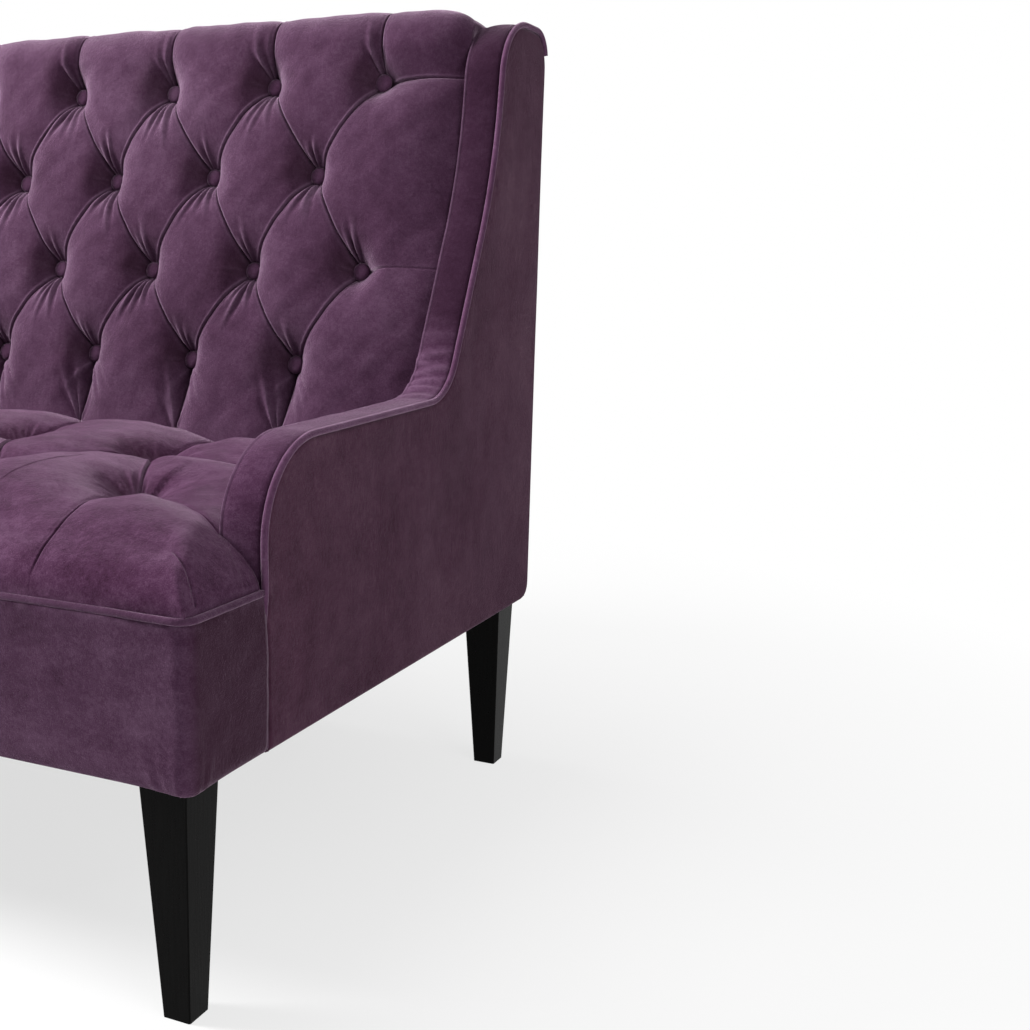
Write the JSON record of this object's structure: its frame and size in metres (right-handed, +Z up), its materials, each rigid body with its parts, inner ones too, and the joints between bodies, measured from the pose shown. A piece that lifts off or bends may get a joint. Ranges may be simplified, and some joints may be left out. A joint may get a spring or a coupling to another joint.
{
  "type": "settee",
  "caption": "High-backed upholstered settee with a diamond-tufted buttoned back, tufted tight seat, low arms sweeping up into wings, piped edges and tapered legs.",
  "frame": {"origin": "on the floor under the middle of the settee's bounding box", "axes": "+X along the settee's length to the side at a viewer's right hand when facing it, -Y the way the sitter faces, +Z up"},
  "size_m": [1.52, 0.8616, 1.037],
  "materials": {
    "velvet": "cut-pile velvet",
    "welt_velvet": "velvet-covered cord",
    "black_wood": "satin black lacquer",
    "frame_timber": "planed, unfinished",
    "foam": "open-cell foam",
    "webbing": "woven elastic webbing",
    "dust_cloth": "black spun cloth",
    "steel": "zinc plated"
  },
  "bodies": {
    "root": {"back_buttons": "velvet", "back_cover": "velvet", "back_foam": "foam", "back_lower_rail": "frame_timber", "back_stiles": "frame_timber", "back_top_band": "velvet", "back_top_rail": "frame_timber", "back_webbing": "webbing", "dust_cover": "dust_cloth", "front_left_corner_block": "frame_timber", "front_left_leg": "black_wood", "front_rail": "frame_timber", "front_right_corner_block": "frame_timber", "front_right_leg": "black_wood", "left_arm_board": "frame_timber", "left_arm_border": "velvet", "left_arm_welt": "welt_velvet", "left_back_post": "frame_timber", "left_inside_arm": "velvet", "left_outside_arm": "velvet", "left_return_block": "frame_timber", "left_side_rail": "frame_timber", "leg_bolts": "steel", "leg_plates": "steel", "outside_back": "velvet", "rear_left_leg": "black_wood", "rear_rail": "frame_timber", "rear_right_leg": "black_wood", "right_arm_board": "frame_timber", "right_arm_border": "velvet", "right_arm_welt": "welt_velvet", "right_back_post": "frame_timber", "right_inside_arm": "velvet", "right_outside_arm": "velvet", "right_return_block": "frame_timber", "right_side_rail": "frame_timber", "seat_border": "velvet", "seat_buttons": "velvet", "seat_cover": "velvet", "seat_cross_rail": "frame_timber", "seat_foam": "foam", "seat_webbing_cross": "webbing", "seat_webbing_long": "webbing", "seat_welt": "welt_velvet"}
  },
  "joints": []
}
